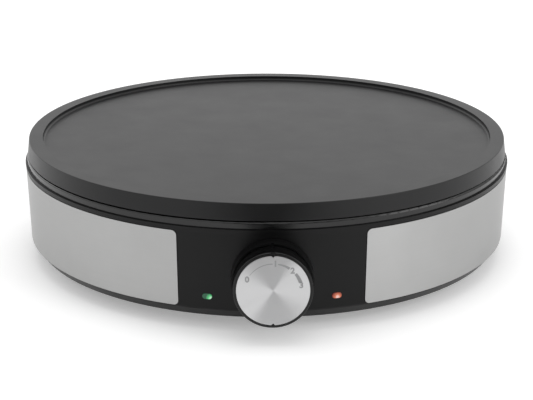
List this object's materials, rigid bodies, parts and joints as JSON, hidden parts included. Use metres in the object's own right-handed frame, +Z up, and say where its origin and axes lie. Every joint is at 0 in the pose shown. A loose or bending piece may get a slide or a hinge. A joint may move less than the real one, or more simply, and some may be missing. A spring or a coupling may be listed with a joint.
{
  "type": "electric crepe maker",
  "caption": "Round electric crepe maker: sunk cast griddle on a black drum housing with steel side panels, front dial with metal cap, two lamps, rubber feet.",
  "frame": {"origin": "on the floor under the middle of the bounding box, midway between the dial's face and the cord gland's face; the griddle's axis stands at y = +8.5 mm", "axes": "+Z up, dial at the front at -Y, cord gland at the back at +Y, green lamp on the -X side"},
  "size_m": [0.324, 0.3466, 0.08],
  "materials": {
    "griddle": "cast aluminium with a black non-stick coating, satin",
    "housing_plastic": "black moulded heat-resistant plastic, satin",
    "knob_plastic": "black moulded plastic",
    "trim_steel": "stainless steel sheet, brushed",
    "dial_metal": "spun aluminium with fine turning lines",
    "rubber": "black rubber, matt",
    "green_lens": "clear green lamp lens",
    "red_lens": "clear red lamp lens",
    "neon_glass": "clear glass",
    "element_sheath": "stainless tube, dulled by heat",
    "zinc_steel": "zinc plated steel",
    "shield_sheet": "plain aluminium sheet",
    "phenolic": "brown phenolic moulding",
    "copper": "drawn copper",
    "spring_steel": "spring steel strip",
    "terminal_plastic": "pale polyamide",
    "live_insulation": "brown silicone insulation",
    "neutral_insulation": "blue silicone insulation",
    "earth_insulation": "green and yellow insulation",
    "red_insulation": "glass-fibre sleeved wire"
  },
  "bodies": {
    "base": {"griddle_plate": "griddle", "heating_element": "element_sheath", "element_pins": "zinc_steel", "heat_shield": "shield_sheet", "collar_ring": "housing_plastic", "housing_shell": "housing_plastic", "left_trim_panel": "trim_steel", "right_trim_panel": "trim_steel", "base_pan": "housing_plastic", "foot_front_left": "rubber", "foot_front_right": "rubber", "foot_rear_left": "rubber", "foot_rear_right": "rubber", "plate_screws": "zinc_steel", "base_screws": "zinc_steel", "saddle_screws": "zinc_steel", "clamp_screws": "zinc_steel", "earth_screw": "zinc_steel", "thermostat_body": "phenolic", "thermostat_screws": "zinc_steel", "green_lamp_lens": "green_lens", "red_lamp_lens": "red_lens", "green_neon_lamp": "neon_glass", "red_neon_lamp": "neon_glass", "cord_gland": "housing_plastic", "gland_nut": "housing_plastic", "cord_clamp": "housing_plastic", "terminal_block": "terminal_plastic", "terminal_screws": "zinc_steel", "thermostat_bulb": "copper", "bulb_clip": "spring_steel", "thermal_fuse": "terminal_plastic", "fuse_clip": "spring_steel", "earth_tag": "zinc_steel", "wire_live": "live_insulation", "wire_switched": "red_insulation", "wire_fuse_link": "red_insulation", "wire_neutral": "neutral_insulation", "wire_earth": "earth_insulation", "capillary_tube": "copper"},
    "dial": {"knob_body": "knob_plastic", "knob_cap": "dial_metal", "knob_spring_clip": "spring_steel", "thermostat_shaft": "zinc_steel"}
  },
  "joints": [
    {"name": "dial_turn", "type": "hinge", "parent": "base", "child": "dial", "pos_m": [0, -0.1665, 0.035], "axis": [0, 1, 0], "range_deg": [-78.5, 65]}
  ]
}
